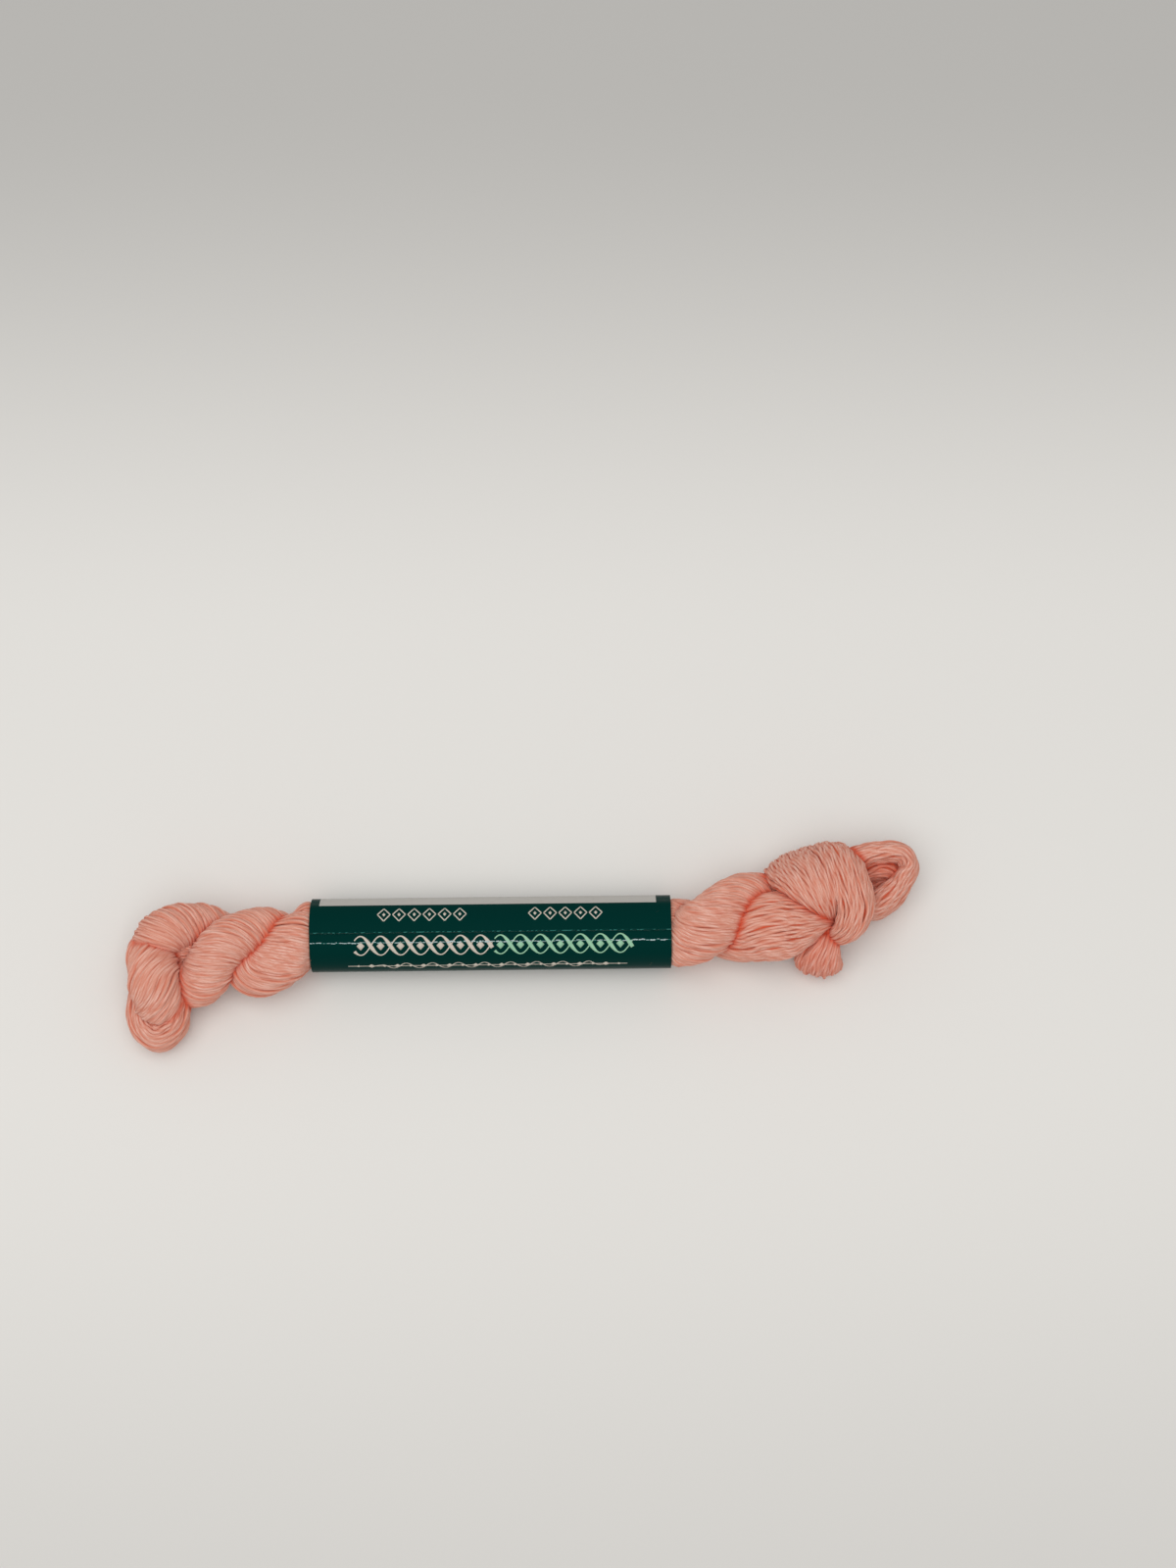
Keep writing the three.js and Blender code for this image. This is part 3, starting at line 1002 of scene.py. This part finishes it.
class SKEIN_OT_sleeve(bpy.types.Operator):
    """Roll the laminated paper sleeve with its lapped edge and its plain writing panel"""

    bl_idname = "skein.sleeve"
    bl_label = "Paper Sleeve"

    panel_span = (-36.2, 35.0)
    panel_turn = (-10.0, 54.0)

    def execute(self, context):
        sleeve = context.scene.skein_sleeve
        half, radius, paper = sleeve.length / 2 / MM, sleeve.radius / MM, sleeve.paper / MM
        under_end = LAP_FULL - 360
        turns = np.arange(LAP_EDGE, under_end - 0.1, -2.0)
        cut = half - 0.15
        stations = np.unique(
            np.concatenate([np.linspace(-half, half, 40), self.panel_span, [-cut, cut]])
        )
        outer_radius = radius + lap_rise(turns)
        grid_x = stations[:, None]
        outer = on_sleeve(grid_x, turns[None], outer_radius[None], 0.0)
        inner = on_sleeve(grid_x, turns[None], outer_radius[None] - paper, paper)
        many, long = len(turns), len(stations)
        ids = np.arange(long * many).reshape(long, many)
        faces, kinds = [], []

        def sheet(grid, flip, kind_of):
            for s in range(long - 1):
                for i in range(many - 1):
                    quad = [grid[s, i], grid[s + 1, i], grid[s + 1, i + 1], grid[s, i + 1]]
                    faces.append(quad[::-1] if flip else quad)
                    kinds.append(kind_of(s, i))

        def outside(s, i):
            x = (stations[s] + stations[s + 1]) / 2
            turn = (turns[i] + turns[i + 1]) / 2
            in_span = self.panel_span[0] < x < self.panel_span[1]
            in_turn = self.panel_turn[0] < turn < self.panel_turn[1]
            return 1 if in_span and in_turn else 0

        low = ids + long * many
        sheet(ids, True, outside)
        sheet(low, False, lambda s, i: 2)
        for i, flip in ((0, False), (many - 1, True)):
            for s in range(long - 1):
                quad = [ids[s, i], ids[s + 1, i], low[s + 1, i], low[s, i]]
                faces.append(quad if flip else quad[::-1])
                kinds.append(2)
        for s, flip in ((0, False), (long - 1, True)):
            for i in range(many - 1):
                quad = [ids[s, i], ids[s, i + 1], low[s, i + 1], low[s, i]]
                faces.append(quad if flip else quad[::-1])
                kinds.append(3)
        mould = Mould()
        mould.add(np.concatenate([outer.reshape(-1, 3), inner.reshape(-1, 3)]), faces)
        mould.kinds = kinds
        piece = mould.cast(
            "rolled_sleeve",
            [
                laminate_material("green_laminate", tuple(sleeve.green)),
                bare_paper_material("writing_panel", tuple(sleeve.panel)),
                bare_paper_material("paper_inside", tuple(0.8 * c for c in sleeve.panel)),
                laminate_material("cut_paper_edge", tuple(sleeve.cut_edge_and_highlight)),
            ],
        )
        piece.data.shade_smooth()
        piece.data.set_sharp_from_angle(angle=math.radians(35))
        dress(piece, "paper_sleeve")
        return {"FINISHED"}


class Press:
    """Prints thin raised strips and lozenges on the sleeve.

    Places are x along the sleeve and v round it, in mm, v from the lapped edge down the front.
    """

    ink, sunk = 0.03, -0.06

    def __init__(self, radius):
        self.mould = Mould()
        self.radius = radius

    def place(self, x, v, lift):
        degrees = LAP_EDGE + np.degrees(v / self.radius)
        return on_sleeve(x, degrees, self.radius + lap_rise(degrees) + lift, 0.0)

    def strip(self, x, v, half, kind, lift=ink):
        path = np.stack([x, v], axis=-1)
        along = unit(np.gradient(path, axis=0))
        across = np.stack([-along[:, 1], along[:, 0]], axis=-1) * np.reshape(half, (-1, 1))
        near, far = path - across, path + across
        rings = np.stack(
            [
                self.place(near[:, 0], near[:, 1], lift),
                self.place(near[:, 0], near[:, 1], self.sunk),
                self.place(far[:, 0], far[:, 1], self.sunk),
                self.place(far[:, 0], far[:, 1], lift),
            ],
            axis=1,
        )
        self.mould.skin(rings, kind)

    def lozenge(self, x, v, half_x, half_v, kind, lift=ink):
        xs = x + half_x * np.array([1, 0, -1, 0])
        vs = v + half_v * np.array([0, 1, 0, -1])
        ends = [self.place(xs, vs, self.sunk), self.place(xs, vs, lift)]
        self.mould.skin(np.stack(ends), kind)

    def open_lozenge(self, x, v, half_x, half_v, stroke, kind):
        corners = [(1, 0), (0, 1), (-1, 0), (0, -1), (1, 0)]
        for (ax, av), (bx, bv) in zip(corners[:-1], corners[1:]):
            xs = x + half_x * np.linspace(ax, bx, 4)
            vs = v + half_v * np.linspace(av, bv, 4)
            self.strip(xs, vs, np.full(4, stroke), kind)


class SKEIN_OT_sleeve_print(bpy.types.Operator):
    """Print lozenges, a plaited band and a bead border on the sleeve, with painted highlights
    along its lapped edge and its scuffed crease
    """

    bl_idname = "skein.sleeve_print"
    bl_label = "Sleeve Print"

    def execute(self, context):
        sleeve = context.scene.skein_sleeve
        rng = np.random.default_rng(SEED + 2)
        cream, mint, teal_highlight, rubbed = range(4)
        press = Press(sleeve.radius / MM)
        half = sleeve.length / 2 / MM

        # Two short rows of open lozenges above the lapped edge
        row_at = -3.9
        for start, stop in ((-22.4, -4.0), (9.4, 22.6)):
            for x in np.arange(start, stop, 3.2):
                press.open_lozenge(x, row_at, 1.35, 1.45, 0.12, cream)
                press.lozenge(x, row_at, 0.36, 0.45, cream)

        # The plaited band, cream on one half and mint on the other
        middle, swing, period = 2.75, 2.1, 8.4
        band_from = -28.6
        for kind, start, stop in ((cream, band_from, 0.4), (mint, 0.9, 29.9)):
            xs = np.linspace(start, stop, 200)
            for crossing, offset in enumerate((0.0, np.pi)):
                phase = 2 * np.pi * xs / period + offset
                stroke = 0.13 + 0.30 * np.clip(np.cos(phase), 0, 1) ** 2
                lift = 0.03 + 0.015 * crossing
                press.strip(xs, middle + swing * np.sin(phase), stroke, kind, lift)
            first = band_from - band_from % (period / 2)
            for x in np.arange(first, 30, period / 2) + period / 4:
                if start + 1 < x < stop - 1:
                    press.lozenge(x, middle, 0.85, 0.95, kind)

        # A fine line with beads along the front, and a low wave round it
        line_at, wave_length = 8.15, 5.5
        xs = np.linspace(-30.2, 28.8, 90)
        press.strip(xs, np.full(90, line_at), np.full(90, 0.09), cream)
        xs = np.linspace(-24.75, 24.75, 240)
        turn = 2 * np.pi * xs / wave_length
        fade = np.clip((24.9 - np.abs(xs)) / 4, 0, 1)
        wave = line_at + 0.95 * fade * np.sin(turn)
        press.strip(xs, wave, 0.05 + 0.06 * np.abs(np.cos(turn)), cream, 0.035)
        for number, x in enumerate(np.arange(-28.0, 27.5, wave_length / 2)):
            size = 0.62 if number % 2 else 0.34
            press.lozenge(x, line_at, size * 1.3, size, cream, 0.045)

        # Painted highlights: broken strips along the lapped edge, and a thin line along the crease
        # below it, with pale flecks where the crease's film is scuffed
        crease_at, margin = 2.02, 0.05
        x = -half + margin
        while x < half - 0.3:
            run = min(rng.uniform(1.5, 6.0), half - margin - x)
            xs = np.linspace(x, x + run, max(4, int(run / 0.4)))
            width = 0.08 + 0.07 * rng.uniform(0, 1, len(xs))
            press.strip(xs, np.full(len(xs), -0.11), width, teal_highlight, 0.02)
            x += run + rng.uniform(0.0, 0.5)
        xs = np.linspace(-half + margin, half - margin, 260)
        press.strip(xs, crease_at + 0.03 * np.sin(xs / 3), np.full(260, 0.07), teal_highlight, 0.02)
        x = -half + 2 * margin
        while x < half - 0.8:
            run = rng.uniform(0.2, 1.3)
            xs = np.linspace(x, x + run, 5)
            vs = crease_at + 0.03 * np.sin(xs / 3)
            vs = vs + rng.uniform(-0.13, 0.13) + rng.normal(0, 0.025, 5)
            # The painted highlight flecks are wider where the crease is more scuffed, round x = -5
            # and x = 35 mm
            wear_and_glint = 1 + 0.9 * math.exp(-(((x + 5) / 8) ** 2))
            wear_and_glint += 0.6 * math.exp(-(((x - 35) / 5) ** 2))
            width = wear_and_glint * rng.uniform(0.03, 0.13) * np.array([0.3, 1.0, 0.7, 1.0, 0.3])
            press.strip(xs, vs, width, rubbed, 0.05)
            x += run * rng.uniform(0.6, 1.0) + rng.uniform(0.0, 0.6)

        piece = press.mould.cast(
            "sleeve_print",
            [
                ink_material("cream_ink", tuple(sleeve.cream)),
                ink_material("mint_ink", tuple(sleeve.mint)),
                # Painted highlights along the lapped edge and the crease, and painted highlight
                # flecks on the scuffed crease
                ink_material("rubbed_edge", tuple(sleeve.cut_edge_and_highlight)),
                ink_material("scuffed_crease", (0.50, 0.62, 0.64)),
            ],
        )
        dress(piece, "paper_sleeve")
        return {"FINISHED"}


class SKEIN_OT_studio(bpy.types.Operator):
    """Set the table, the soft light and the camera round the skein"""

    bl_idname = "skein.studio"
    bl_label = "Studio"

    def execute(self, context):
        studio = context.scene.skein_studio
        self.lay_table(studio)
        self.light(context, studio)
        self.place_camera(context)
        context.scene.view_settings.view_transform = "Standard"
        return {"FINISHED"}

    def lay_table(self, studio):
        mesh = bpy.data.meshes.new("table")
        reach = 2.5
        corners = [(-reach, -reach, 0), (reach, -reach, 0), (reach, reach, 0), (-reach, reach, 0)]
        mesh.from_pydata(corners, [], [(0, 1, 2, 3)])
        table = bpy.data.objects.new("table", mesh)
        bpy.context.scene.collection.objects.link(table)
        shader = Shader("pale_table")
        place = shader.object_place()
        split = shader.node("ShaderNodeSeparateXYZ", {0: place})
        # Painted shade: the table's colour darkens away from the skein, more behind it than ahead,
        # for the light falling off there
        behind = shader.spread(split.outputs["Y"], 0.07, 0.22, 0.0, 0.33)
        ahead = shader.spread(split.outputs["Y"], -0.02, -0.17, 0.0, 0.19)
        painted_falloff = shader.node("ShaderNodeMath", {0: behind, 1: ahead}, operation="ADD").outputs[0]
        grain = shader.noise(place, 900.0, 3.0)
        tone = shader.mix(painted_falloff, opaque(studio.floor), (0.0, 0.0, 0.0, 1.0))
        mesh.materials.append(
            shader.finish(
                tone, bump=grain, depth=0.00005, strength=0.2, Roughness=0.6,
                Specular_IOR_Level=0.2,
            )
        )

    def light(self, context, studio):
        lamp = bpy.data.lights.new("soft_lamp", "AREA")
        lamp.energy = studio.lamp_power
        lamp.size = studio.lamp_size
        lamp.color = (1.0, 0.985, 0.96)
        stand = bpy.data.objects.new("soft_lamp", lamp)
        stand.location = (-0.10, -0.19, 0.95)
        stand.visible_glossy = False
        stand.rotation_euler = stand.location.to_track_quat("Z", "Y").to_euler()
        context.scene.collection.objects.link(stand)
        world = bpy.data.worlds.new("studio_sky")
        world.use_nodes = True
        sky = world.node_tree.nodes["Background"]
        sky.inputs["Color"].default_value = (1.0, 0.99, 0.975, 1.0)
        sky.inputs["Strength"].default_value = studio.sky
        context.scene.world = world

    def place_camera(self, context):
        # In pixels: the picture, the focal length and where the sleeve's middle is seen
        image_width, image_height = 1200, 1600
        focal = 2600.0
        seen_at = (501.6, 952.6)
        distance = 0.5431
        tilt, turn = math.radians(72), math.radians(0.687)
        axis_height = 7.6 * MM
        sensor = 36
        right = Vector((math.cos(turn), -math.sin(turn), 0))
        ahead = Vector(
            (math.sin(turn) * math.cos(tilt), math.cos(turn) * math.cos(tilt), -math.sin(tilt))
        )
        up = right.cross(ahead)
        target = Vector((sleeve_middle.x, sleeve_middle.y, axis_height))
        pixel = distance / focal
        place = target - distance * ahead
        place -= (seen_at[0] - image_width / 2) * pixel * right
        place -= (image_height / 2 - seen_at[1]) * pixel * up
        camera = bpy.data.cameras.new("camera")
        camera.sensor_fit = "VERTICAL"
        camera.sensor_height = sensor
        camera.lens = focal / image_height * sensor
        camera.clip_start = 0.01
        camera.clip_end = 20
        stand = bpy.data.objects.new("camera", camera)
        rows = zip(right, up, -ahead, place)
        stand.matrix_world = Matrix([*rows, (0, 0, 0, 1)])
        context.scene.collection.objects.link(stand)
        context.scene.camera = stand


OPERATORS = (
    SKEIN_OT_yarn_heart,
    SKEIN_OT_strands,
    SKEIN_OT_loose_fibres,
    SKEIN_OT_sleeve,
    SKEIN_OT_sleeve_print,
    SKEIN_OT_studio,
)


class SKEIN_PT_panel(bpy.types.Panel):
    """Sizes, colours and pieces of the skein"""

    bl_idname = "SKEIN_PT_panel"
    bl_label = "Skein"
    bl_space_type = "VIEW_3D"
    bl_region_type = "UI"
    bl_category = "Skein"

    def draw(self, context):
        scene = context.scene
        for settings in (scene.skein_yarn, scene.skein_sleeve, scene.skein_studio):
            column = self.layout.column()
            for name in settings.__annotations__:
                column.prop(settings, name)
        for operator in OPERATORS:
            self.layout.operator(operator.bl_idname)


CLASSES = (SkeinYarnSettings, SkeinSleeveSettings, SkeinStudioSettings, *OPERATORS, SKEIN_PT_panel)


def register():
    for made in CLASSES:
        bpy.utils.register_class(made)
    bpy.types.Scene.skein_yarn = bpy.props.PointerProperty(type=SkeinYarnSettings)
    bpy.types.Scene.skein_sleeve = bpy.props.PointerProperty(type=SkeinSleeveSettings)
    bpy.types.Scene.skein_studio = bpy.props.PointerProperty(type=SkeinStudioSettings)


def unregister():
    del bpy.types.Scene.skein_studio
    del bpy.types.Scene.skein_sleeve
    del bpy.types.Scene.skein_yarn
    for made in reversed(CLASSES):
        bpy.utils.unregister_class(made)


def main():
    register()
    bpy.ops.skein.yarn_heart()
    bpy.ops.skein.strands()
    bpy.ops.skein.loose_fibres()
    bpy.ops.skein.sleeve()
    bpy.ops.skein.sleeve_print()
    bpy.ops.skein.studio()


if __name__ == "__main__":
    main()
